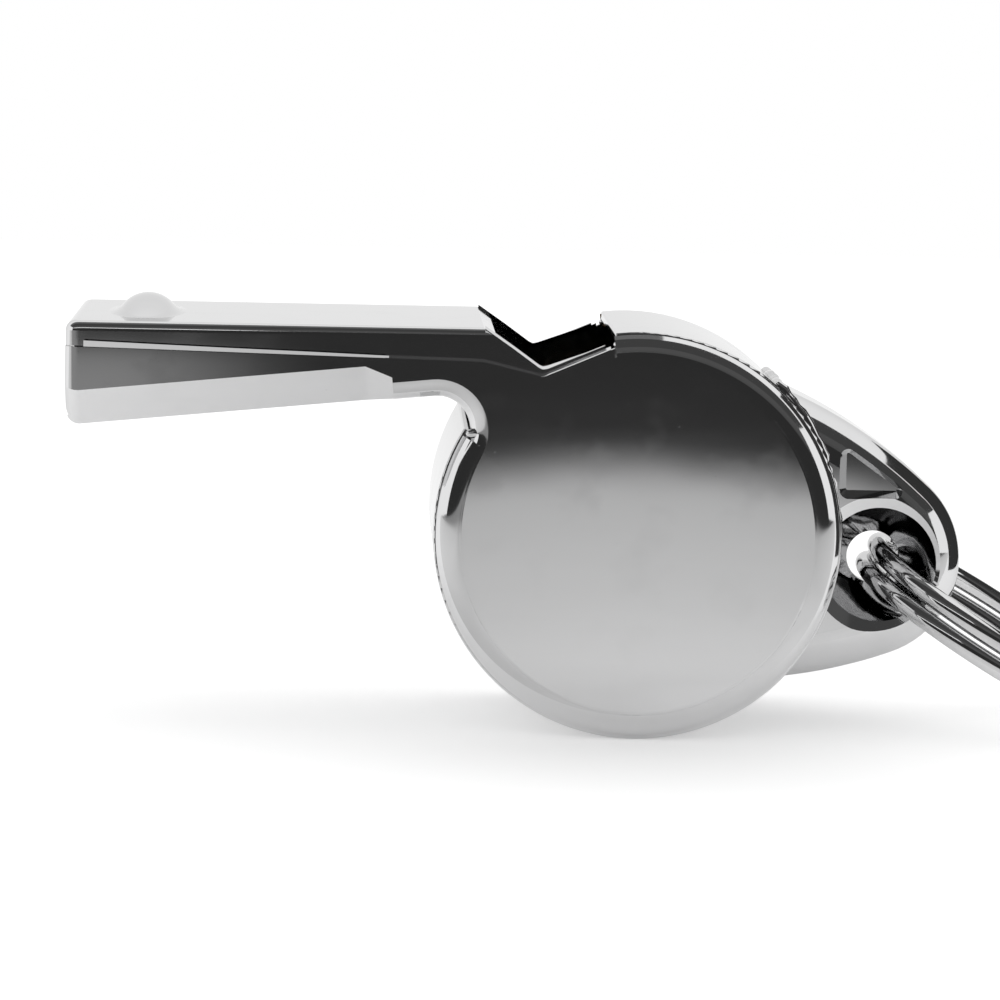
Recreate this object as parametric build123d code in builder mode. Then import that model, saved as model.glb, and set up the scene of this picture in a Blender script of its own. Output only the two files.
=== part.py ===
from build123d import *
import math
import os

# A pressed metal pea whistle with a split ring on its lug, in millimetres.
# The mouthpiece points along -X, the drum's axis lies along Y, and Z is up.
# Side views are drawn from the drum's axis, looking along +Y.

# Sheet and joints
sheet = 0.45
solder_gap = 0.03
cut_overrun = 2.0

# Drum
band_radius = 10.4
band_sheet = 0.5
band_width = 17.0
band_edge_radius = 0.12
band_lap_angle = 4.0
band_window_angle = 98.5
face_proud = 0.75
disc_edge_radius = 0.9
disc_flange_depth = 2.5

# Mouthpiece
mouthpiece_length = 18.75
roof_proud = 0.05
roof_edge_radius = 0.5
tip_depth = 5.4
floor_rise_angle = 5.8
seam_tip_drop = 1.28
seam_neck_drop = 1.71
skirt_lap = 1.0
skirt_neck_share = 0.44
neck_radius = 1.7
neck_lap_angle = 7.0
neck_length = 3.4
runout_length = 1.3
runout_angle = 20.0
hull_wall = 0.41
tip_radius = 0.7
mouth_lip = 1.3

# Bite ridge on the roof
ridge_setback = 3.85
ridge_height = 0.95
ridge_radius = 1.7
ridge_length = 11.4
ridge_blend = 0.9

# Window between the roof's end and the band's upper end
window_length = 6.6
notch_share = 0.545
notch_drop = 2.1
notch_back_drop = 0.77
notch_round = 0.5
shoulder_round = 5.0
strip_height = 0.32
strip_back_height = 0.1

# Plate that narrows the windway under the roof's end
slit_height = 0.9
plate_shelf = 1.2
plate_run = 2.4
plate_foot = 0.8
plate_bend_radius = 0.6

# Lug and its eye for the ring
lug_width = 10.0
lug_length = 6.6
lug_tip_radius = 5.2
lug_tip_drop = 1.5
lug_flank_radius = 25.0
lug_top_angle = 45.0
lug_bottom_angle = -49.0
lug_edge_share = 0.21
eye_setback = 4.3
eye_drop = 1.65
dish_flare = 1.75
dish_angle = 45.0
dish_rim_radius = 0.5
lip_flare = 0.5
lip_angle = 120.0
scoop_back = 2.2
scoop_ahead = 2.3
scoop_low = 3.4
scoop_high = 6.6
scoop_depth = 0.7
scoop_corner_radius = 0.5
scoop_slope = 30.0

# Split ring
ring_mean_radius = 7.5
wire_diameter = 0.84
turn_gap = 0.42
ring_play = 0.3
ring_slope = 31.0
ring_roll = 4.5
ring_end_angle = 45.0
path_checks = 480

# Cork pea
pea_diameter = 11.0
pea_clearance = 0.3

# Places along the side view that follow from the sizes above
tip_reach = band_radius + mouthpiece_length
hull_end_reach = band_radius + neck_length
ridge_reach = tip_reach - ridge_setback
window_angle = math.radians(band_window_angle)
window_back_reach = -(band_radius - band_sheet) * math.cos(window_angle) - 2 * solder_gap
window_front_reach = window_back_reach + window_length
notch_reach = window_back_reach + window_length * notch_share
plate_top_reach = window_front_reach + plate_shelf
plate_rise_reach = plate_top_reach + plate_run
plate_foot_reach = plate_rise_reach + plate_foot
lug_tip_reach = band_radius + lug_length
lug_edge_radius = band_radius * lug_edge_share
eye_reach = lug_tip_reach - eye_setback
ring_reach = eye_reach + 2 * ring_mean_radius * math.cos(math.radians(ring_slope)) + wire_diameter / 2

# Heights over the drum's axis
roof_height = band_radius + roof_proud
floor_tip_height = roof_height - tip_depth
seam_tip_height = roof_height - seam_tip_drop
seam_neck_height = roof_height - seam_neck_drop
notch_height = roof_height - notch_drop
notch_back_height = roof_height - notch_back_drop
cap_height = roof_height + cut_overrun

# Widths, and the frame that the views are drawn in
axis_x = (tip_reach - ring_reach) / 2
axis_z = band_radius
half_face = band_width / 2 + face_proud
cover_half = half_face - sheet - solder_gap
disc_radius = band_radius - band_sheet - solder_gap
mouth_half_width = half_face - sheet - mouth_lip
mouth_half_height = tip_depth / 2 - sheet
mouth_middle = (roof_height + floor_tip_height) / 2
mouth_depth = tip_radius + sheet
eye_diameter = 2 * wire_diameter + turn_gap + 2 * ring_play
dish_diameter = eye_diameter + 2 * dish_flare
lip_diameter = dish_diameter + 2 * lip_flare
side_view = Plane(origin=(axis_x, 0, axis_z), x_dir=(1, 0, 0), z_dir=(0, -1, 0))
mouth_view = Plane(origin=(axis_x - tip_reach, 0, axis_z + mouth_middle), x_dir=(0, 1, 0), z_dir=(1, 0, 0))
os.makedirs("parts", exist_ok=True)


def floor_height(x):
    """Height of the mouthpiece's underside over the drum's axis at the side-view place x."""
    return floor_tip_height + (x + tip_reach) * math.tan(math.radians(floor_rise_angle))


def seam_height(x):
    """Height of the seam between the cover and the lower halves."""
    fall = (seam_neck_height - seam_tip_height) / (tip_reach - window_front_reach)
    return seam_tip_height + (x + tip_reach) * fall


def neck_angle():
    """The angle round the drum at which the neck's hollow runs into it."""
    rise = math.radians(floor_rise_angle)
    fall = math.tan(rise)
    drop = neck_radius / math.cos(rise) - floor_height(0)
    reach = disc_radius + neck_radius
    across = (fall * drop - math.sqrt(reach**2 * (1 + fall**2) - drop**2)) / (1 + fall**2)
    return math.degrees(math.atan2(fall * across - drop, across))


band_front_angle = neck_angle() - band_lap_angle
hull_bevel = seam_height(-hull_end_reach) - floor_height(-hull_end_reach) - hull_wall
skirt_neck_lap = hull_wall * skirt_neck_share


def polar(radius, angle):
    """A side-view point at an angle from +X round the drum's axis."""
    return (radius * math.cos(math.radians(angle)), radius * math.sin(math.radians(angle)))


def half_outline(inset):
    """Side view of one lower half, drawn an inset inside its outer skin and open past the seam."""
    back = 0 if inset > 0 else -window_back_reach
    with BuildSketch() as outline:
        with BuildLine():
            Polyline(
                (-tip_reach, cap_height),
                (-tip_reach, floor_tip_height),
                (back, floor_height(back)),
                (back, cap_height),
                close=True,
            )
        make_face()
        Circle(disc_radius)
        throat = polar(disc_radius, band_front_angle)
        corner = outline.vertices().sort_by_distance((throat[0], throat[1], 0))[0]
        fillet(corner, neck_radius)
        if inset != 0:
            offset(amount=-inset, kind=Kind.INTERSECTION)
    return outline.sketch


def hull_wedge(inset):
    """The prism cut from the lower outer edge of the mouthpiece, from its tip to the neck's notch."""
    rise = math.radians(floor_rise_angle)
    along = (math.cos(rise), 0, math.sin(rise))
    bevel = hull_bevel - inset * (2 - math.sqrt(2))
    start = -tip_reach - cut_overrun
    length = (hull_end_reach + start) / -math.cos(rise)
    with BuildPart() as wedge:
        for x, run, taper in ((start, length, 0), (-hull_end_reach, runout_length, runout_angle)):
            corner = (axis_x + x, inset - half_face, axis_z + floor_height(x) + inset / math.cos(rise))
            with BuildSketch(Plane(origin=corner, x_dir=(0, 1, 0), z_dir=along)):
                with BuildLine():
                    Polyline(
                        (-cut_overrun, -cut_overrun),
                        (bevel + cut_overrun, -cut_overrun),
                        (-cut_overrun, bevel + cut_overrun),
                        close=True,
                    )
                make_face()
            extrude(amount=run, taper=taper)
    return wedge.part


def turned_edges(part):
    """The edges of the outermost flat face that are turned over: all but the upright and level ones."""
    rim = part.faces().filter_by(Axis.Y).sort_by(Axis.Y)[0].edges()
    return rim.filter_by(Axis.Z, reverse=True).filter_by(Axis.X, reverse=True).sort_by(Axis.X)


with BuildPart() as half_skin:
    with BuildSketch(side_view.offset(half_face)):
        add(half_outline(0))
    extrude(amount=-disc_flange_depth)
    with BuildSketch(side_view.offset(half_face)):
        add(half_outline(0))
        with BuildLine():
            Polyline(
                (0, 0),
                polar(disc_radius + neck_radius, band_front_angle + neck_lap_angle),
                (-tip_reach - cut_overrun, 0),
                (-tip_reach - cut_overrun, cap_height + cut_overrun),
                (-window_back_reach, cap_height + cut_overrun),
                close=True,
            )
        make_face(mode=Mode.INTERSECT)
    extrude(amount=-half_face)
    fillet(turned_edges(half_skin.part), disc_edge_radius)
    add(hull_wedge(0), mode=Mode.SUBTRACT)
    tip_edges = half_skin.faces().filter_by(Axis.X).sort_by(Axis.X)[0].edges()
    below_cap = tip_edges.sort_by(Axis.Z)[:-1]
    fillet(below_cap.sort_by(Axis.Y)[:-1], tip_radius)

with BuildPart() as half_hollow:
    with BuildSketch(side_view.offset(half_face - sheet)):
        add(half_outline(sheet))
    extrude(amount=sheet - half_face - cut_overrun)
    fillet(turned_edges(half_hollow.part), disc_edge_radius - sheet)
    add(hull_wedge(sheet), mode=Mode.SUBTRACT)

with BuildPart() as right_shell:
    add(half_skin.part)
    add(half_hollow.part, mode=Mode.SUBTRACT)
    with BuildSketch(side_view.offset(half_face + cut_overrun)) as above_seam:
        with BuildLine():
            Polyline(
                (-tip_reach - cut_overrun, seam_height(-tip_reach - cut_overrun)),
                (-window_front_reach, seam_neck_height),
                (-notch_reach, notch_height - strip_height),
                (-window_back_reach, notch_back_height - strip_back_height),
                (-window_back_reach, cap_height + cut_overrun),
                (-tip_reach - cut_overrun, cap_height + cut_overrun),
                close=True,
            )
        make_face()
        shoulder = above_seam.vertices().sort_by_distance((-window_front_reach, seam_neck_height, 0))[0]
        fillet(shoulder, shoulder_round)
        notch = above_seam.vertices().sort_by_distance((-notch_reach, notch_height - strip_height, 0))[0]
        fillet(notch, notch_round)
    extrude(amount=-half_face - 2 * cut_overrun, mode=Mode.SUBTRACT)
    with BuildSketch(mouth_view):
        Rectangle(2 * mouth_half_width, 2 * mouth_half_height)
    extrude(amount=mouth_depth, both=True, mode=Mode.SUBTRACT)
right_shell.part.label = "right_shell"
export_step(right_shell.part, "parts/right_shell.step")

with BuildPart() as left_shell:
    mirror(right_shell.part, about=Plane.XZ)
left_shell.part.label = "left_shell"
export_step(left_shell.part, "parts/left_shell.step")


def ridge_bar(inset):
    """The arched round bar, sunk in the roof, whose top is the bite ridge."""
    top = axis_z + roof_height + ridge_height
    arch_radius = (ridge_length**2 / 4 + ridge_height**2) / (2 * ridge_height)
    crown = Plane(origin=(axis_x - ridge_reach, 0, top - ridge_radius), x_dir=(1, 0, 0), z_dir=(0, -1, 0))
    with BuildPart() as bar:
        with BuildSketch(crown):
            Circle(ridge_radius - inset)
        revolve(axis=Axis((axis_x, 0, top - arch_radius), (1, 0, 0)))
        split(bisect_by=Plane.XY.offset(axis_z + roof_height - sheet), keep=Keep.TOP)
    return bar.part


with BuildPart() as top_cover:
    front = -tip_reach
    tucked_front = front + sheet + solder_gap
    back = -window_back_reach - sheet - solder_gap
    with BuildSketch(side_view) as cover_outline:
        with BuildLine():
            Polyline(
                (front, seam_tip_height + solder_gap),
                (front, roof_height),
                (-window_front_reach, roof_height),
                (-notch_reach, notch_height),
                (back, notch_back_height),
                (back, notch_back_height - strip_back_height - skirt_lap),
                (-notch_reach, notch_height - strip_height - skirt_lap),
                (-window_front_reach, seam_neck_height - skirt_neck_lap),
                (-hull_end_reach, seam_height(-hull_end_reach) - skirt_neck_lap),
                (tucked_front, seam_height(tucked_front) - skirt_lap),
                (tucked_front, seam_tip_height + solder_gap),
                close=True,
            )
        make_face()
        fillet(cover_outline.vertices().sort_by_distance((-notch_reach, notch_height, 0))[0], notch_round)
    extrude(amount=cover_half, both=True)
    corners = top_cover.edges().filter_by(Axis.Z).group_by(Axis.X)[0]
    fillet(corners, tip_radius)
    brow = top_cover.faces().sort_by(Axis.Z)[-1].edges().sort_by(Axis.X)
    fillet(brow[:-1], roof_edge_radius)
    add(ridge_bar(0))
    with BuildSketch(side_view):
        with BuildLine():
            Polyline(
                (front + sheet, 0),
                (front + sheet, roof_height - sheet),
                (0, roof_height - sheet),
                (0, 0),
                close=True,
            )
        make_face()
    extrude(amount=cover_half - sheet, both=True, mode=Mode.SUBTRACT)
    add(ridge_bar(sheet), mode=Mode.SUBTRACT)
    with BuildSketch(mouth_view):
        Rectangle(2 * mouth_half_width, 2 * mouth_half_height)
    extrude(amount=mouth_depth, both=True, mode=Mode.SUBTRACT)
    roof_level = axis_z + roof_height
    on_roof = top_cover.edges().filter_by_position(Axis.Z, roof_level - solder_gap, roof_level + solder_gap)
    ridge_x = axis_x - ridge_reach
    fillet(on_roof.filter_by_position(Axis.X, ridge_x - ridge_radius, ridge_x + ridge_radius), ridge_blend)
top_cover.part.label = "top_cover"
export_step(top_cover.part, "parts/top_cover.step")

with BuildPart() as barrel_band:
    with BuildSketch(side_view):
        Circle(band_radius)
        Circle(band_radius - band_sheet, mode=Mode.SUBTRACT)
        with BuildLine():
            Polyline(
                (0, 0),
                polar(2 * band_radius, band_window_angle),
                polar(2 * band_radius, (band_window_angle + band_front_angle) / 2),
                polar(2 * band_radius, band_front_angle),
                close=True,
            )
        make_face(mode=Mode.SUBTRACT)
        add(half_outline(-solder_gap), mode=Mode.SUBTRACT)
    extrude(amount=band_width / 2, both=True)
    fillet(barrel_band.edges(), band_edge_radius)
barrel_band.part.label = "barrel_band"
export_step(barrel_band.part, "parts/barrel_band.step")

with BuildPart() as windway_plate:
    rest = sheet / math.cos(math.radians(floor_rise_angle)) + solder_gap
    under = roof_height - slit_height - 2 * sheet
    with BuildSketch(side_view):
        with BuildLine():
            FilletPolyline(
                (-plate_foot_reach, floor_height(-plate_foot_reach) + rest),
                (-plate_rise_reach, floor_height(-plate_rise_reach) + rest),
                (-plate_top_reach, under),
                (-window_front_reach, under),
                radius=plate_bend_radius,
            )
            offset(amount=sheet, side=Side.LEFT)
        make_face()
    extrude(amount=cover_half - sheet - solder_gap, both=True)
windway_plate.part.label = "windway_plate"
export_step(windway_plate.part, "parts/windway_plate.step")


def touches_band(edge):
    """True for an edge that lies along the band's outside."""
    middle = edge.position_at(0.5)
    return math.hypot(middle.X - axis_x, middle.Z - axis_z) < band_radius + 2 * solder_gap


def lug_turn(seat, turn):
    """The angle at which the arc from a seat on the band runs into the lug's round tip."""
    across = seat[0] - lug_tip_reach + lug_tip_radius
    up = seat[1] + lug_tip_drop
    reach = math.hypot(across, up)
    grow = lug_flank_radius - lug_tip_radius
    lean = (lug_flank_radius**2 - grow**2 - reach**2) / (2 * grow * reach)
    return math.atan2(up, across) + turn * math.acos(lean)


def lug_place(angle):
    """A side-view point on the lug's round tip."""
    middle_x = lug_tip_reach - lug_tip_radius
    return (middle_x + lug_tip_radius * math.cos(angle), lug_tip_radius * math.sin(angle) - lug_tip_drop)


with BuildPart() as ring_lug:
    top_seat = polar(band_radius, lug_top_angle)
    bottom_seat = polar(band_radius, lug_bottom_angle)
    top_angle = lug_turn(top_seat, -1)
    bottom_angle = lug_turn(bottom_seat, 1)
    top_turn = lug_place(top_angle)
    bottom_turn = lug_place(bottom_angle)
    with BuildSketch(side_view):
        with BuildLine():
            TangentArc(bottom_turn, bottom_seat, tangent=(math.sin(bottom_angle), -math.cos(bottom_angle)))
            ThreePointArc(bottom_turn, (lug_tip_reach, -lug_tip_drop), top_turn)
            TangentArc(top_turn, top_seat, tangent=(-math.sin(top_angle), math.cos(top_angle)))
            Line(top_seat, bottom_seat)
        make_face()
        Circle(band_radius + solder_gap, mode=Mode.SUBTRACT)
    extrude(amount=lug_width / 2, both=True)
    side_edges = ring_lug.faces().filter_by(Axis.Y).edges()
    fillet(side_edges.filter_by(lambda e: not touches_band(e)), lug_edge_radius)
    for side in (-1, 1):
        eye = Plane(
            origin=(axis_x + eye_reach, side * lug_width / 2, axis_z - eye_drop),
            x_dir=(1, 0, 0),
            z_dir=(0, side, 0),
        )
        with BuildSketch(eye) as scoop:
            with BuildLine():
                Polyline(
                    (-scoop_back, side * -scoop_low),
                    (-scoop_back, side * -scoop_high),
                    (scoop_ahead, side * -scoop_low),
                    close=True,
                )
            make_face()
            fillet(scoop.vertices(), scoop_corner_radius)
        extrude(amount=-scoop_depth, taper=scoop_slope, mode=Mode.SUBTRACT)
        with Locations(eye):
            CounterSinkHole(eye_diameter / 2, dish_diameter / 2, counter_sink_angle=dish_angle)
            CounterSinkHole(eye_diameter / 2, lip_diameter / 2, counter_sink_angle=lip_angle)
    eye_middle = (axis_x + eye_reach, 0, axis_z - eye_drop)
    throat = ring_lug.faces().filter_by(GeomType.CYLINDER).sort_by_distance(eye_middle)[0]
    fillet(throat.edges().filter_by(GeomType.CIRCLE), dish_rim_radius)
ring_lug.part.label = "ring_lug"
export_step(ring_lug.part, "parts/ring_lug.step")

with BuildPart() as cork_pea:
    drop = disc_radius - sheet - pea_clearance - pea_diameter / 2
    with Locations((axis_x, 0, axis_z - drop)):
        Sphere(pea_diameter / 2)
cork_pea.part.label = "cork_pea"
export_step(cork_pea.part, "parts/cork_pea.step")


slope = math.radians(ring_slope)
roll = math.radians(ring_roll)
ring_frame = Plane(
    origin=(axis_x + eye_reach, 0, axis_z - eye_drop),
    x_dir=(math.cos(slope), 0, -math.sin(slope)),
    z_dir=(math.sin(slope) * math.cos(roll), -math.sin(roll), math.cos(slope) * math.cos(roll)),
)
turn_step = wire_diameter + turn_gap


def ring_point(angle, layer):
    """A place on the ring's centre line, at an angle from its far end, on the lower or upper turn."""
    turned = math.radians(angle)
    along = ring_mean_radius * (1 + math.cos(turned))
    across = ring_mean_radius * math.sin(turned)
    return ring_frame.from_local_coords(Vector(along, across, layer * turn_step / 2))


def ring_tangent(angle):
    """The wire's direction on a flat stretch of a turn."""
    turned = math.radians(angle)
    ahead = Vector(-math.sin(turned), math.cos(turned), 0)
    return ring_frame.from_local_coords(ahead) - ring_frame.origin


with BuildPart() as split_ring:
    last_angle = 360 - ring_end_angle
    quarter = last_angle / 3 - ring_end_angle / 3
    with BuildLine() as ring_path:
        for layer in (-1, 1):
            for step in range(3):
                angle = ring_end_angle + step * quarter
                ThreePointArc(
                    ring_point(angle, layer),
                    ring_point(angle + quarter / 2, layer),
                    ring_point(angle + quarter, layer),
                )
            if layer < 0:
                low = ring_point(last_angle, -1)
                high = ring_point(ring_end_angle, 1)
                leave = ring_tangent(last_angle)
                arrive = ring_tangent(ring_end_angle)
                reach = high - low
                both_ways = reach.dot(leave + arrive)
                fold = 2 * (1 - leave.dot(arrive))
                arm = (math.sqrt(both_ways**2 + fold * reach.dot(reach)) - both_ways) / fold
                joint = (low + high + (leave - arrive) * arm) / 2
                heading = high - arrive * arm - low - leave * arm
                TangentArc(low, joint, tangent=leave)
                TangentArc(joint, high, tangent=heading)
    ring_wire = ring_path.wires()[0]
    with BuildSketch(Plane(origin=ring_wire @ 0, z_dir=ring_wire % 0)):
        Circle(wire_diameter / 2)
    sweep(path=ring_wire)
split_ring.part.label = "split_ring"
export_step(split_ring.part, "parts/split_ring.step")

marks = [ring_wire @ (i / path_checks) for i in range(path_checks)]
apart = math.ceil(path_checks / 4)
gaps = [(marks[i] - mark).length for i in range(path_checks) for mark in marks[i + apart:]]
print("split ring wire", round(ring_wire.length, 2), "least gap between turns", round(min(gaps) - wire_diameter, 3))
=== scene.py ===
import math

import bmesh
import bpy
from mathutils import Matrix, Vector


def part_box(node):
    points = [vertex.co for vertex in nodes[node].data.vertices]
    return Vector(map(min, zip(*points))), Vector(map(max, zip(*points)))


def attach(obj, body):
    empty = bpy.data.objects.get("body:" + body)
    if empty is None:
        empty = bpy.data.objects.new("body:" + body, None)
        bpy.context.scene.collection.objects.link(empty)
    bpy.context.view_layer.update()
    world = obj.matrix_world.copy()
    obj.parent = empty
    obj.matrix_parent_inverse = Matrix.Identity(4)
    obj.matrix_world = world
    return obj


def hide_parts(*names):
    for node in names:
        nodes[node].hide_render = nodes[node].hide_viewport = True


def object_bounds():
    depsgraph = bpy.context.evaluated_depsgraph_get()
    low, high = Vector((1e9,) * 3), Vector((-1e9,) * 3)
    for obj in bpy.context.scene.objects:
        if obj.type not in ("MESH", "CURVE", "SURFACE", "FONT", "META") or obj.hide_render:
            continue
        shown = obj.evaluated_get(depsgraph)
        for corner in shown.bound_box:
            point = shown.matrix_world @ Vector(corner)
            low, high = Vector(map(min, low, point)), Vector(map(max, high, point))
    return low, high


# %% [markdown]
# A pressed metal pea whistle stands on its drum on a white table, with a split ring in its lug.
# Its sheet-metal pieces come from the CAD frame at their real size, in metres. They could be modelled again
# here, but then the solids and the picture would drift apart, so this script only dresses them, adds what a
# solderer and a ring winder add, and lights the table as a small product studio does. Load the frame first
# and keep its box, so that nothing here outgrows it.

# %% Load the frame
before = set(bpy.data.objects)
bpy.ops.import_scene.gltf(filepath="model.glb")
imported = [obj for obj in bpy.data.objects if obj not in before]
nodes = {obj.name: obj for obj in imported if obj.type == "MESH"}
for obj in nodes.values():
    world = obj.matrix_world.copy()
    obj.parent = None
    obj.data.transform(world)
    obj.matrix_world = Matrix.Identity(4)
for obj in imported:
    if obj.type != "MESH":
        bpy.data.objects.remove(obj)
cad_low, cad_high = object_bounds()
print("pieces in the frame:", sorted(nodes))

# %% [markdown]
# A finish is a small graph of nodes. Wiring it by hand takes many lines, so one class wraps a socket and
# lets Python's own signs add the Math nodes, and one method adds any other node: its type, its settings,
# and then the values or links of its sockets.


# %% Sums on sockets
class Signal:
    """An output socket that takes part in Python sums."""

    def __init__(self, tree, socket):
        self.tree = tree
        self.socket = socket

    def math(self, operation, first, second):
        node = self.tree.nodes.new("ShaderNodeMath")
        node.operation = operation
        put(self.tree, node.inputs[0], first)
        put(self.tree, node.inputs[1], second)
        return Signal(self.tree, node.outputs[0])

    def __add__(self, other):
        return self.math("ADD", self, other)

    def __radd__(self, other):
        return self.math("ADD", other, self)

    def __sub__(self, other):
        return self.math("SUBTRACT", self, other)

    def __rsub__(self, other):
        return self.math("SUBTRACT", other, self)

    def __mul__(self, other):
        return self.math("MULTIPLY", self, other)

    def __rmul__(self, other):
        return self.math("MULTIPLY", other, self)


def put(tree, slot, value):
    """Links a signal to a socket, or sets the socket's own value."""
    if isinstance(value, Signal):
        tree.links.new(value.socket, slot)
    else:
        slot.default_value = value


class Bench:
    """A node tree that is being wired."""

    def __init__(self, tree):
        self.tree = tree
        tree.nodes.clear()

    def node(self, kind, settings=None, sockets=None, out=0):
        made = self.tree.nodes.new("ShaderNode" + kind)
        for key, value in (settings or {}).items():
            if key == "stops":
                row = made.color_ramp.elements
                while len(row) < len(value):
                    row.new(1.0)
                for stop, (place, shade) in zip(row, value):
                    stop.position = place
                    stop.color = (shade, shade, shade, 1.0)
            else:
                setattr(made, key, value)
        for key, value in (sockets or {}).items():
            put(self.tree, made.inputs[key], value)
        return Signal(self.tree, made.outputs[out]) if len(made.outputs) else made

    def mix(self, share, first, second):
        """A colour between two others."""
        return self.node("Mix", {"data_type": "RGBA"}, {0: share, 6: first, 7: second}, 2)


def new_finish(name):
    """A new material and the bench for its nodes."""
    material = bpy.data.materials.new(name)
    material.use_nodes = True
    return material, Bench(material.node_tree)


print("sums on sockets ready")

# %% [markdown]
# Bright nickel or chrome plate is a mirror with a life: the pressed sheet under it isn't quite flat, so
# reflections wander a little; polishing leaves fine lines; fingers leave faint smudges; and there are a few
# pits. All of that is far too small to model, so it goes into roughness, colour and a bump of a few
# thousandths of a millimetre. Object coordinates are in metres, so the pattern scales are large numbers.


# %% Plated metal
def plated(name, tone, haze, waviness, grain):
    """Bright plate: its grey, its least roughness, its waviness in metres and the way of its polish."""
    material, bench = new_finish(name)
    place = bench.node("TexCoord", out="Object")
    waves = bench.node("TexNoise", {}, {"Vector": place, "Scale": 210.0, "Detail": 1.0}, "Fac")
    along = bench.node("Mapping", {}, {"Vector": place, "Scale": grain})
    lines = bench.node("TexNoise", {}, {"Vector": along, "Scale": 900.0, "Detail": 4.0}, "Fac")
    blots = bench.node("TexNoise", {}, {"Vector": place, "Scale": 330.0, "Detail": 3.0}, "Fac")
    smudge = bench.node("ValToRGB", {"stops": [(0.52, 0.0), (0.72, 1.0)]}, {"Fac": blots}, "Color")
    cells = bench.node("TexVoronoi", {}, {"Vector": place, "Scale": 620.0}, "Distance")
    pits = bench.node("ValToRGB", {"stops": [(0.0, 1.0), (0.045, 0.0)]}, {"Fac": cells}, "Color")
    shade = tone - 0.02 * smudge - 0.06 * pits + 0.03 * (lines - 0.5)
    colour = bench.node("CombineColor", {}, {"Red": shade, "Green": shade, "Blue": shade * 1.005})
    rough = haze + 0.03 * smudge + 0.10 * pits + 0.02 * lines
    height = waves + 0.012 * lines - 0.02 * pits
    bump = bench.node("Bump", {}, {"Strength": 1.0, "Distance": waviness, "Height": height})
    sockets = {"Base Color": colour, "Metallic": 1.0, "Roughness": rough, "Normal": bump}
    sockets["Specular Tint"] = (edge_tint, edge_tint, edge_tint, 1.0)
    skin = bench.node("BsdfPrincipled", {}, sockets)
    bench.node("OutputMaterial", {}, {"Surface": skin})
    return material


def dress(node, material):
    """Gives a CAD node one finish."""
    mesh = nodes[node].data
    mesh.materials.clear()
    mesh.materials.append(material)


edge_tint = 0.78
sheet_plate = plated("plated_sheet", 0.76, 0.045, 2.5e-6, (0.12, 1.0, 1.0))
band_plate = plated("plated_band", 0.76, 0.05, 2.0e-6, (1.0, 0.1, 1.0))
lug_plate = plated("plated_lug", 0.74, 0.05, 6.0e-6, (1.0, 1.0, 1.0))
wire_plate = plated("plated_wire", 0.73, 0.05, 3.0e-6, (1.0, 1.0, 1.0))
for node in ("right_shell", "left_shell", "top_cover", "windway_plate"):
    dress(node, sheet_plate)
dress("barrel_band", band_plate)
dress("ring_lug", lug_plate)
dress("split_ring", wire_plate)
print("plated:", [m.name for m in (sheet_plate, band_plate, lug_plate, wire_plate)])

# %% [markdown]
# The pea is a ball turned from natural cork. Cork is pale brown with darker pores and soft, broad clouds of
# colour, and it is quite matt. It only shows through the window, so a colour built from two noises and a
# pore pattern is enough, with a bump so that the pores catch the light.


# %% Cork
def cork():
    """Matt natural cork."""
    material, bench = new_finish("cork")
    place = bench.node("TexCoord", out="Object")
    clouds = bench.node("TexNoise", {}, {"Vector": place, "Scale": 420.0, "Detail": 5.0}, "Fac")
    crumbs = bench.node("TexVoronoi", {}, {"Vector": place, "Scale": 1500.0}, "Distance")
    pores = bench.node("ValToRGB", {"stops": [(0.05, 1.0), (0.22, 0.0)]}, {"Fac": crumbs}, "Color")
    body = bench.mix(clouds, (0.72, 0.52, 0.32, 1.0), (0.46, 0.29, 0.15, 1.0))
    colour = bench.mix(pores * 0.7, body, (0.13, 0.07, 0.04, 1.0))
    height = clouds - 0.6 * pores
    bump = bench.node("Bump", {}, {"Strength": 0.8, "Distance": 8.0e-5, "Height": height})
    skin = bench.node("BsdfPrincipled", {}, {"Base Color": colour, "Roughness": 0.82, "Normal": bump})
    bench.node("OutputMaterial", {}, {"Surface": skin})
    return material


dress("cork_pea", cork())
print("pea dressed in cork")

# %% [markdown]
# A split ring is wire wound twice round, with each end lying flat on the other turn. The frame's ring keeps
# its turns apart so that its wire is one clean solid, while the real one is wound tight from thicker wire.
# A spun circle would give one closed turn, not a winding. Wire is a line with one thickness, so a curve with
# a round section is the plain way to draw it: the line runs once round, climbs by one turn, and runs again.


# %% Split ring
def finish_piece(made, material, body):
    """Smooths a new piece, dresses it, and says what it rides on."""
    bpy.ops.object.select_all(action="DESELECT")
    made.select_set(True)
    bpy.context.view_layer.objects.active = made
    bpy.ops.object.shade_smooth_by_angle(angle=math.radians(40))
    made.data.materials.clear()
    made.data.materials.append(material)
    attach(made, body)


def beading(name, points, radius, material, body, swell=1.0):
    """A round wire or bead along a line of points, turned into a mesh that rides on a body."""
    line = bpy.data.curves.new(name, "CURVE")
    line.dimensions = "3D"
    line.bevel_depth = radius
    line.bevel_resolution = 6
    line.use_fill_caps = True
    spline = line.splines.new("POLY")
    spline.points.add(len(points) - 1)
    for i, point in enumerate(points):
        spline.points[i].co = (point[0], point[1], point[2], 1.0)
        raggedness = 0.5 + 0.5 * math.sin(2.3 * i) * math.cos(1.1 * i)
        spline.points[i].radius = 1.0 + (swell - 1.0) * raggedness
    made = bpy.data.objects.new(name, line)
    bpy.context.scene.collection.objects.link(made)
    bpy.ops.object.select_all(action="DESELECT")
    made.select_set(True)
    bpy.context.view_layer.objects.active = made
    bpy.ops.object.convert(target="MESH")
    made = bpy.context.view_layer.objects.active
    finish_piece(made, material, body)
    return made


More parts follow.
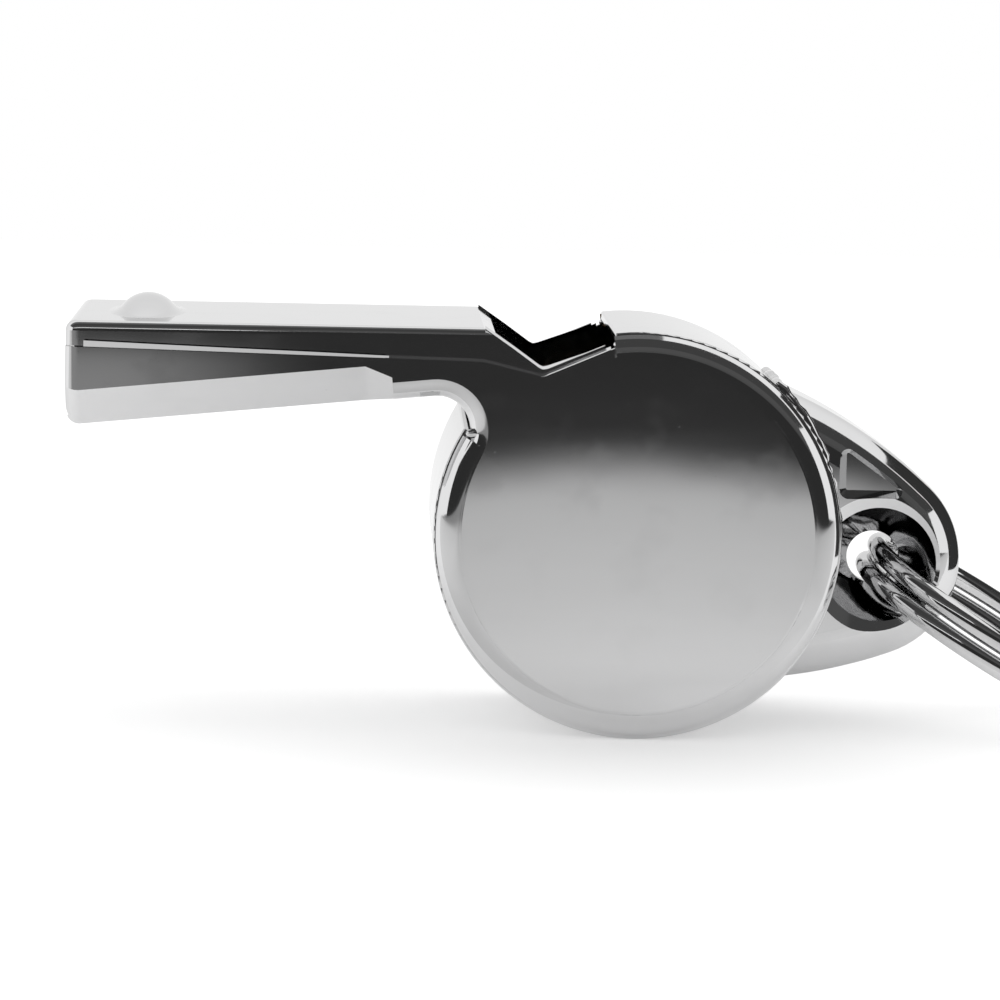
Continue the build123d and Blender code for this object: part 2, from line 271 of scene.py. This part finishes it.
drum_low, drum_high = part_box("barrel_band")
drum_axis = (Vector(drum_low) + Vector(drum_high)) / 2
eye_middle = drum_axis + Vector((0.0127, 0.0, -0.00165))
slope, roll = math.radians(31.0), math.radians(4.5)
ring_along = Vector((math.cos(slope), 0.0, -math.sin(slope)))
tilt = math.cos(roll)
ring_up = Vector((math.sin(slope) * tilt, -math.sin(roll), math.cos(slope) * tilt))
ring_across = ring_up.cross(ring_along)
turn_radius, turn_rise, wire_radius = 0.00738, 0.00116, 0.000525
first_end, wound, climb_start, climb_length = 45, 630, 270, 90
ring_line = []
for step in range(0, wound + 1, 3):
    angle = math.radians(first_end + step)
    climb = min(max((step - climb_start) / climb_length, 0.0), 1.0)
    level = climb * climb * (3.0 - 2.0 * climb) - 0.5
    flat = ring_along * (1.0 + math.cos(angle)) + ring_across * math.sin(angle)
    ring_line.append(eye_middle + turn_radius * flat + turn_rise * level * ring_up)
tight_ring = beading("tight_split_ring", ring_line, wire_radius, wire_plate, "ring")
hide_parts("split_ring")
print("ring wound from", len(ring_line), "points")

# %% [markdown]
# The drum's round sides are soldered into the band, and the joint is filed and polished until disc and band
# look like one rounded edge. A bevel on the solids would cut into them, so a ring of that polished solder
# fills the groove between them. Its section is the cap of a circle: add the circle, keep only its outer
# corner, close it with a face, and spin it round the drum's axis from the neck to the window.


# %% Soldered rim
def rim_solder(name, side):
    """Polished solder round one side of the drum."""
    start = math.radians(rim_from)
    outward = Vector((math.cos(start), 0.0, math.sin(start)))
    middle = drum_axis + rim_start * outward + Vector((0.0, side * (face_half - rim_round), 0.0))
    bpy.ops.object.select_all(action="DESELECT")
    bpy.ops.mesh.primitive_circle_add(
        vertices=120, radius=rim_round, location=middle, rotation=(0, -start, 0)
    )
    rim = bpy.context.active_object
    rim.name = name
    bpy.ops.object.transform_apply(location=True, rotation=True, scale=True)
    bpy.ops.object.mode_set(mode="EDIT")
    section = bmesh.from_edit_mesh(rim.data)
    for corner in section.verts:
        off = corner.co - middle
        inside = off.dot(outward) < rim_sink or off.y * side < rim_round - band_drop
        corner.select_set(inside)
    section.select_flush_mode()
    bmesh.update_edit_mesh(rim.data)
    bpy.ops.mesh.delete(type="VERT")
    bpy.ops.mesh.select_all(action="SELECT")
    bpy.ops.mesh.edge_face_add()
    bpy.ops.mesh.spin(
        steps=180, angle=math.radians(rim_turn), center=drum_axis, axis=(0.0, 1.0, 0.0)
    )
    bpy.ops.mesh.select_all(action="SELECT")
    bpy.ops.mesh.remove_doubles(threshold=1e-6)
    bpy.ops.mesh.normals_make_consistent(inside=False)
    bpy.ops.object.mode_set(mode="OBJECT")
    finish_piece(rim, band_plate, "whistle_body")
    return rim


face_half = cad_high[1] - 0.000002
rim_from, rim_turn = 151.0, 307.0
rim_start, rim_round, band_drop, rim_sink = 0.0090, 0.0015, 0.00069, 0.00003
rims = [rim_solder("right_rim_solder", -1), rim_solder("left_rim_solder", 1)]
print("rims:", [(r.name, len(r.data.polygons)) for r in rims])

# %% [markdown]
# A narrow fold of sheet stands on the lower halves' edge along the mouthpiece's seam. It leans out a little,
# so it mirrors the white table and shows as a thin white line that dwindles towards the window. The edges in
# the notch get flatter strips, which slope the other way. A curve can't lean, so each strip is a small plane
# whose corners are moved into its section, extruded from place to place and shrunk on the way.


# %% Folds along the seams
def fold(name, places, depth, corners, shrink):
    """A strip along side-view places in millimetres. Its corners are (outward, up) from each place."""
    side = math.copysign(1.0, depth)
    start = drum_axis + Vector((places[0][0] / 1000, depth, places[0][1] / 1000))
    bpy.ops.object.select_all(action="DESELECT")
    bpy.ops.mesh.primitive_plane_add(
        size=0.0002, location=start, rotation=(0.0, math.radians(90), 0.0)
    )
    strip = bpy.context.active_object
    strip.name = name
    bpy.ops.object.transform_apply(location=True, rotation=True, scale=True)
    bpy.ops.object.mode_set(mode="EDIT")
    section = bmesh.from_edit_mesh(strip.data)
    for corner in section.verts:
        outer = (corner.co.y - start.y) * side > 0
        upper = corner.co.z > start.z
        out, up = corners[(2 if upper else 0) + (1 if outer else 0)]
        corner.co = start + Vector((0.0, side * out / 1000, up / 1000))
    bmesh.update_edit_mesh(strip.data)
    bpy.ops.mesh.select_all(action="SELECT")
    spot = start
    for last, place in zip(places, places[1:]):
        move = Vector(((place[0] - last[0]) / 1000, 0.0, (place[1] - last[1]) / 1000))
        spot = spot + move
        bpy.ops.mesh.extrude_region_move(TRANSFORM_OT_translate={"value": move})
        bpy.ops.transform.resize(value=(1.0, shrink, shrink), center_override=spot)
    bpy.ops.mesh.select_all(action="SELECT")
    bpy.ops.mesh.normals_make_consistent(inside=False)
    bpy.ops.object.mode_set(mode="OBJECT")
    finish_piece(strip, sheet_plate, "whistle_body")
    return strip


seam_places = [(-28.2, 9.15), (-25.0, 9.09), (-21.0, 9.00), (-17.0, 8.92), (-14.5, 8.87), (-12.8, 8.84)]
lip_places = [(-13.0, 8.85), (-8.6, 8.76), (-8.0, 8.73), (-7.48, 8.62), (-6.3, 8.34), (-5.17, 8.07)]
lip_places += [(-5.0, 8.055), (-4.84, 8.10), (-3.2, 8.80), (-1.6, 9.49)]
brim_places = [(-7.95, 10.39), (-6.5, 9.40), (-5.2, 8.47), (-5.0, 8.38), (-4.75, 8.43)]
brim_places += [(-3.2, 8.99), (-2.05, 9.40)]
leaning = [(-0.10, -0.05), (0.02, -0.03), (-0.10, 0.36), (0.094, 0.34)]
sloping = [(-0.22, -0.03), (0.20, -0.03), (-0.22, 0.16), (0.20, 0.03)]
seam_depth, lip_depth, brim_depth = 0.00915, 0.00900, 0.00854
for side, hand in ((-1, "right"), (1, "left")):
    fold(hand + "_seam_fold", seam_places, side * seam_depth, leaning, 0.86)
    fold(hand + "_shell_lip", lip_places, side * lip_depth, sloping, 1.0)
    fold(hand + "_notch_brim", brim_places, side * brim_depth, sloping, 1.0)
print("folds along the seams on both sides")

# %% [markdown]
# The lug is soldered on by hand, so the joint shows: a ragged bead runs round its foot. It could be sculpted,
# but the ring's line with a thickness is already at hand, and a thickness that swells and shrinks along the
# way makes it ragged. The line climbs one flank on the band, crosses over the top and comes down again.

# %% Lug solder
foot_low, foot_turn, foot_radius, foot_half = -42.0, 45.5, 0.01044, 0.00480
bead_radius, bead_swell = 0.00020, 1.8
flank_points, top_points = 45, 20
flank = []
for step in range(flank_points):
    angle = math.radians(step * 2.0 + foot_low)
    flank.append((foot_radius * math.cos(angle), -foot_half, foot_radius * math.sin(angle)))
top_angle = math.radians(foot_turn)
top_run = []
for step in range(1, top_points):
    reach = -foot_half + 2 * foot_half * step / top_points
    top_run.append((foot_radius * math.cos(top_angle), reach, foot_radius * math.sin(top_angle)))
foot = flank + top_run + [(x, -y, z) for x, y, z in flank][::-1]
foot_line = [drum_axis + Vector(place) for place in foot]
beading("lug_solder", foot_line, bead_radius, lug_plate, "whistle_body", bead_swell)
print("lug soldered along", len(foot_line), "points")

# %% [markdown]
# A drop of solder closes each end of the band, at the neck and at the window, on both sides. Metaballs would
# flow together with nothing here, so a ball is enough to start from: it is squashed, pushed in and out at
# random and smoothed again in edit mode, until it looks like metal that has run and set.


# %% Solder drops
def solder_drop(name, x, z, depth, size):
    """A squashed, uneven drop of solder."""
    bpy.ops.object.select_all(action="DESELECT")
    spot = drum_axis + Vector((x / 1000, depth, z / 1000))
    bpy.ops.mesh.primitive_ico_sphere_add(subdivisions=4, radius=size, location=spot)
    drop = bpy.context.active_object
    drop.name = name
    bpy.ops.object.transform_apply(location=True, rotation=True, scale=True)
    bpy.ops.object.mode_set(mode="EDIT")
    bpy.ops.mesh.select_all(action="SELECT")
    bpy.ops.transform.resize(value=(1.25, 0.7, 0.8), center_override=spot)
    bpy.ops.transform.vertex_random(offset=0.06 * size, uniform=0.0, normal=1.0, seed=3)
    bpy.ops.mesh.vertices_smooth(factor=0.5, repeat=4)
    bpy.ops.object.mode_set(mode="OBJECT")
    finish_piece(drop, lug_plate, "whistle_body")
    return drop


for side, hand in ((-1, "right"), (1, "left")):
    solder_drop(hand + "_neck_drop", -8.45, 5.12, side * 0.00885, 0.00032)
    solder_drop(hand + "_window_drop", -1.10, 9.72, side * 0.00870, 0.00030)
print("four drops on the band's ends")

# %% [markdown]
# The table is a white sheet that ends in a white room. A lamp strong enough to burn it out to white would burn
# the metal out as well, so the paper glows a little by itself instead, for the camera and in reflections only,
# and keeps its soft shadow.


# %% Table
def stage_sheet(name, corners, material):
    """A flat four-cornered piece of the set."""
    bpy.ops.object.select_all(action="DESELECT")
    bpy.ops.mesh.primitive_plane_add(size=1.0, location=(0.0, 0.0, 0.0))
    sheet = bpy.context.active_object
    sheet.name = name
    bpy.ops.object.mode_set(mode="EDIT")
    flat = bmesh.from_edit_mesh(sheet.data)
    for face in flat.faces:
        for vert, corner in zip(face.verts, corners):
            vert.co = corner
    bmesh.update_edit_mesh(sheet.data)
    bpy.ops.object.mode_set(mode="OBJECT")
    sheet.data.materials.append(material)
    return sheet


def across(left, right, near, far):
    """The corners of a sheet from left to right, between a near (y, z) edge and a far one."""
    return [(left, *near), (right, *near), (right, *far), (left, *far)]


def table_white():
    """White paper that clips to white in front of the camera and keeps its shadow."""
    material, bench = new_finish("table_white")
    camera_ray = bench.node("LightPath", out="Is Camera Ray")
    clear_ray = bench.node("LightPath", out="Is Transmission Ray")
    glossy_ray = bench.node("LightPath", out="Is Glossy Ray")
    paper = bench.node("BsdfDiffuse", {}, {"Color": (0.80, 0.80, 0.80, 1.0)})
    glow = 0.35 * (camera_ray + clear_ray) + 0.21 * glossy_ray
    lift = bench.node("Emission", {}, {"Strength": glow})
    both = bench.node("AddShader", {}, {0: paper, 1: lift})
    bench.node("OutputMaterial", {}, {"Surface": both})
    return material


table_side, table_front, table_back = 1.2, -1.2, 0.45
table_corners = across(-table_side, table_side, (table_front, 0.0), (table_back, 0.0))
table = stage_sheet("table", table_corners, table_white())
print("table from", table_front, "to", table_back, "m")

# %% [markdown]
# A mirror shows whatever stands round it, so the room matters more than the lamps. The flat near side of the
# drum is pale below, where it mirrors the table, and nearly black above, where it mirrors the dark room behind
# the camera. In between, the table greys with distance and then falls into the dark along a bowed line. An even
# dark card would give a hard edge, so a thin sheet over the table's front fades from clear to dark instead.


# %% Table's dark front
def ramp(bench, value, start, stop, low, high, way="SMOOTHSTEP"):
    """A number that runs from low to high while another runs from start to stop."""
    sockets = {"Value": value, "From Min": start, "From Max": stop, "To Min": low, "To Max": high}
    return bench.node("MapRange", {"interpolation_type": way}, sockets)


def table_falloff(name):
    """The table's far front, with a faint glow on the left, under the mouthpiece."""
    material, bench = new_finish(name)
    place = bench.node("TexCoord", out="Object")
    x = bench.node("SeparateXYZ", {}, {"Vector": place}, "X")
    y = bench.node("SeparateXYZ", {}, {"Vector": place}, "Y")
    left, right = pool_middle - pool_reach * pool_half, pool_middle + pool_reach * pool_half
    off_middle = ramp(bench, x, left, right, -pool_reach, pool_reach, "LINEAR")
    distance = 0.0 - y + pool_bow * off_middle * off_middle
    stops = [(0.06, 0.0), (0.15, 0.22), (0.35, 0.36), (0.60, 0.45), (0.75, 0.48)]
    greying = bench.node("ValToRGB", {"stops": stops}, {"Fac": distance * 5.0}, "Color")
    dusk = ramp(bench, distance, pool_near, pool_far, 0.0, 1.0)
    cover = greying + dusk * (1.0 - greying)
    glow = ramp(bench, x, -0.015, -0.036, 0.0, 0.24)
    fade = ramp(bench, y, -0.276, -0.262, 0.0, 1.0)
    dark = bench.node("Emission", {}, {"Color": 0.03 + glow * fade, "Strength": 1.0})
    open_air = bench.node("BsdfTransparent")
    mixed = bench.node("MixShader", {}, {0: cover, 1: open_air, 2: dark})
    bench.node("OutputMaterial", {}, {"Surface": mixed})
    return material


pool_middle, pool_half, pool_bow, pool_reach = 0.008, 0.011, 0.010, 1.9
pool_near, pool_far = 0.134, 0.178
room_side, room_front, low_back, card_lift = 1.1, -0.60, -0.012, 0.0004
low_corners = across(-room_side, room_side, (room_front, card_lift), (low_back, card_lift))
low_card = stage_sheet("low_dark_card", low_corners, table_falloff("table_falloff"))
print("table darkens from", pool_near, "to", pool_far, "m in front")

# %% [markdown]
# The rest of the dark room is cards, as in a product studio: a wall behind the camera, a slope and a roof
# overhead, which darken the roof's rounded edge, and a small card beside the lug, which darkens its flank. The
# roof stops short on the right at the back, where the drum's rim has bright crescents. A black world would
# darken the table as well. These cards are hidden from all but reflections, so only the metal sees them.


# %% Dark cards
def room_black(name, level):
    """Even darkness."""
    material, bench = new_finish(name)
    black = bench.node("Emission", {}, {"Color": (1.0, 1.0, 1.0, 1.0), "Strength": level})
    bench.node("OutputMaterial", {}, {"Surface": black})
    return material


room_right, slot_left = 0.10, -0.03
wall_foot, wall_top, slot_top = (room_front, card_lift), (room_front, 0.33), (room_front, 0.42)
roof_front, roof_turn, roof_back = (-0.50, 0.60), (-0.04, 0.60), (0.22, 0.60)
side_x, side_front, side_back, side_top = 0.06, -0.004, 0.08, 0.06
side_low = [(side_x, side_front, card_lift), (side_x, side_back, card_lift)]
side_high = [(side_x, side_back, side_top), (side_x, side_front, side_top)]
card_list = [
    ("front_dark", across(-room_side, room_side, wall_foot, wall_top), 0.03),
    ("slot_dark", across(slot_left, room_side, wall_top, slot_top), 0.08),
    ("high_dark", across(-room_side, room_side, slot_top, roof_front), 0.09),
    ("roof_dark", across(-room_side, room_side, roof_front, roof_turn), 0.06),
    ("back_roof_dark", across(-room_side, room_right, roof_turn, roof_back), 0.16),
    ("side_dark", side_low + side_high, 0.04),
]
cards = [low_card]
for name, corners, level in card_list:
    cards.append(stage_sheet(name + "_card", corners, room_black(name, level)))
for card in cards:
    card.visible_camera = False
    card.visible_diffuse = False
    card.visible_shadow = False
    card.visible_transmission = False
print("dark cards:", [c.name for c in cards])

# %% [markdown]
# The light itself is plain: a white room all round, and one broad lamp overhead that gives the whistle a soft
# shadow. The lamp is hidden from reflections, where it would show as a square. The shadow in front of the drum
# is deeper than a lamp from above leaves it. A second lamp would add a second shadow, so a flag, as
# photographers call a small black sheet, hangs there out of the camera's sight and holds light off the table.


# %% White room, overhead lamp and flag
def white_room():
    """A world that is white where it is seen or mirrored, and a little dimmer as a lamp."""
    world = bpy.data.worlds.new("white_room")
    world.use_nodes = True
    bench = Bench(world.node_tree)
    seen = bench.node("LightPath", out="Is Camera Ray") + bench.node("LightPath", out="Is Glossy Ray")
    seen = seen + bench.node("LightPath", out="Is Transmission Ray")
    level = 0.95 + 0.05 * seen
    sky = bench.node("Background", {}, {"Color": (1.0, 1.0, 1.0, 1.0), "Strength": level})
    bench.node("OutputWorld", {}, {"Surface": sky})
    bpy.context.scene.world = world


white_room()
lamp = bpy.data.lights.new("overhead_lamp", "AREA")
lamp.shape = "SQUARE"
lamp.size = 0.6
lamp.energy = 0.35
overhead = bpy.data.objects.new("overhead_lamp", lamp)
overhead.location = (0.0, 0.15, 0.5)
overhead.visible_glossy = False
bpy.context.scene.collection.objects.link(overhead)
flag_half, flag_front, flag_back, flag_high = 0.009, -0.024, -0.0105, 0.020
flag_left, flag_right = drum_axis.x - flag_half, drum_axis.x + flag_half
flag_corners = across(flag_left, flag_right, (flag_front, flag_high), (flag_back, flag_high))
flag = stage_sheet("shadow_flag", flag_corners, room_black("flag_black", 0.0))
flag.visible_camera = False
flag.visible_glossy = False
flag.visible_transmission = False
print("lamp over the table:", lamp.energy, "W")

# %% [markdown]
# The camera's place was worked out from the photo: the drum's near and far rims are two circles of one
# known size, and their centres and radii fix where the lens stood and how long it was. It is a long lens,
# close to the table and looking down by under six degrees. Aiming it by eye would be quicker, but the rims
# would then not fall where they should, so its three turns are built up as a matrix.


# %% Camera
def turned_axes(yaw, pitch, roll):
    """The camera's right, up and forward directions for its three turns, in degrees."""
    yaw, pitch, roll = (math.radians(a) for a in (yaw, pitch, roll))
    flat = math.cos(pitch)
    ahead = Vector((math.sin(yaw) * flat, math.cos(yaw) * flat, -math.sin(pitch)))
    level = Vector((math.cos(yaw), -math.sin(yaw), 0.0))
    upright = level.cross(ahead)
    right = level * math.cos(roll) + upright * math.sin(roll)
    up = upright * math.cos(roll) - level * math.sin(roll)
    return right, up, ahead


lens_from_axis = Vector((-0.014665, -0.29182, 0.029741))
right, up, ahead = turned_axes(1.543, 5.646, 1.183)
lens = bpy.data.cameras.new("photo_camera")
lens.lens = 202.13
lens.sensor_width = 36.0
lens.clip_start, lens.clip_end = 0.01, 10.0
camera = bpy.data.objects.new("photo_camera", lens)
turn = Matrix((right, up, -ahead)).transposed().to_4x4()
camera.matrix_world = Matrix.Translation(drum_axis + lens_from_axis) @ turn
bpy.context.scene.collection.objects.link(camera)
bpy.context.scene.camera = camera
bpy.context.scene.view_settings.view_transform = "Standard"
print("camera at", [round(v, 4) for v in camera.location])
